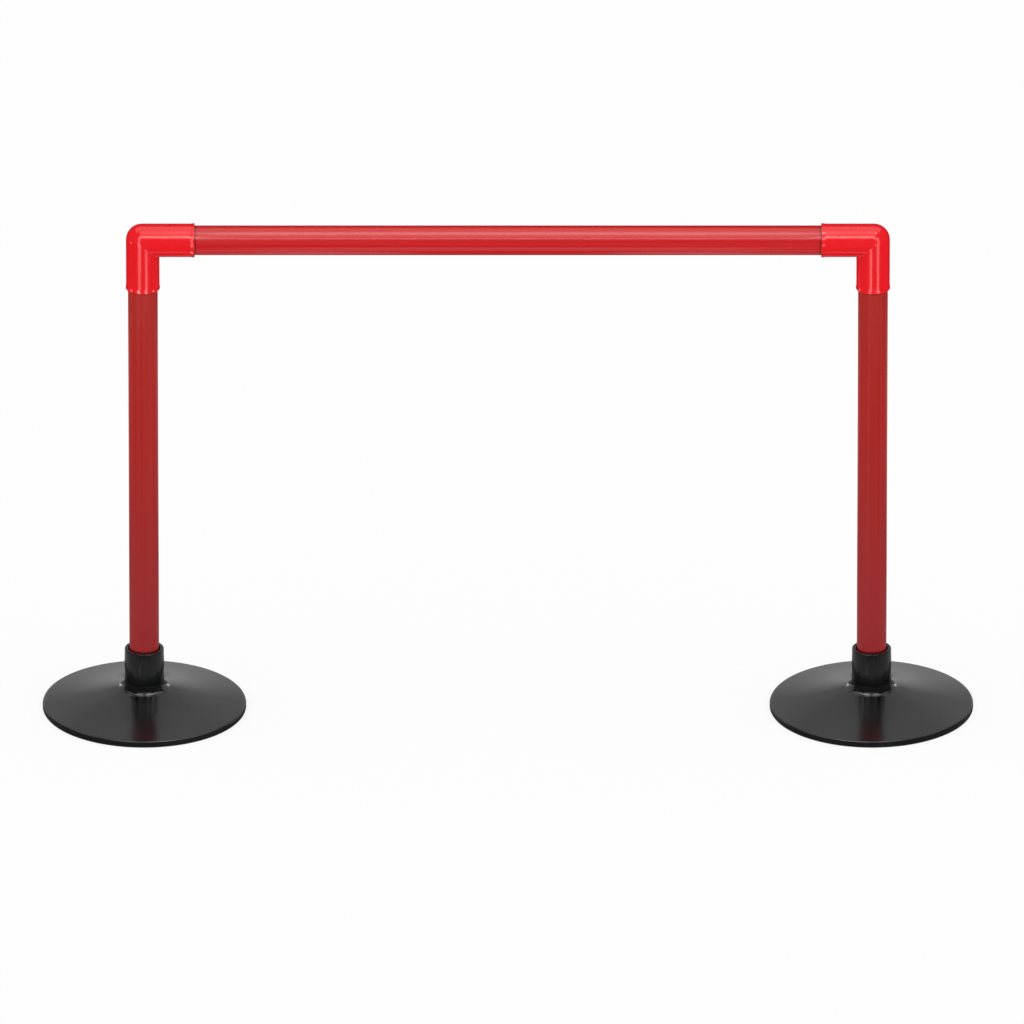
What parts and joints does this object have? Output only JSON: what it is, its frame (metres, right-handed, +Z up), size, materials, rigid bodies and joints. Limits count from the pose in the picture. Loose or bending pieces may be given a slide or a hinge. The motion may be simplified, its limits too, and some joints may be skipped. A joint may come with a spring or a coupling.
{
  "type": "training hurdle",
  "caption": "Low knock-down training hurdle: a pipe crossbar in elbow fittings on pipe posts, each standing in the collar of a round domed rubber base.",
  "frame": {"origin": "on the floor, midway between the two posts", "axes": "+X along the crossbar from the left post to the right post, +Y through the hurdle in the running direction, +Z up"},
  "size_m": [1.006, 0.22, 0.5673],
  "materials": {
    "base_rubber": "semi-gloss moulded rubber",
    "post_pipe": "extruded pipe, satin",
    "bar_pipe": "extruded pipe, satin",
    "elbow_plastic": "glossy injection moulding"
  },
  "bodies": {
    "left_base": {"left_base": "base_rubber"},
    "left_post": {"left_post": "post_pipe"},
    "left_elbow": {"left_elbow": "elbow_plastic"},
    "crossbar": {"crossbar": "bar_pipe"},
    "right_elbow": {"right_elbow": "elbow_plastic"},
    "right_post": {"right_post": "post_pipe"},
    "right_base": {"right_base": "base_rubber"}
  },
  "joints": [
    {"name": "frame_lift", "type": "slide", "parent": "left_base", "child": "left_post", "axis": [0, 0, 1], "range_m": [0, 0.07]},
    {"name": "top_lift", "type": "slide", "parent": "left_post", "child": "left_elbow", "axis": [0, 0, 1], "range_m": [0, 0.04]},
    {"name": "crossbar_pull", "type": "slide", "parent": "left_elbow", "child": "crossbar", "axis": [1, 0, 0], "range_m": [0, 0.04]},
    {"name": "right_elbow_pull", "type": "slide", "parent": "crossbar", "child": "right_elbow", "axis": [1, 0, 0], "range_m": [0, 0.04]},
    {"name": "right_top_lift", "type": "slide", "parent": "right_elbow", "child": "right_post", "axis": [0, 0, -1], "range_m": [0, 0.04]},
    {"name": "right_frame_lift", "type": "slide", "parent": "right_post", "child": "right_base", "axis": [0, 0, -1], "range_m": [0, 0.07]}
  ],
  "couplings": [
    {"joint": "right_top_lift", "follows": "top_lift", "ratio": 1},
    {"joint": "right_frame_lift", "follows": "frame_lift", "ratio": 1}
  ]
}
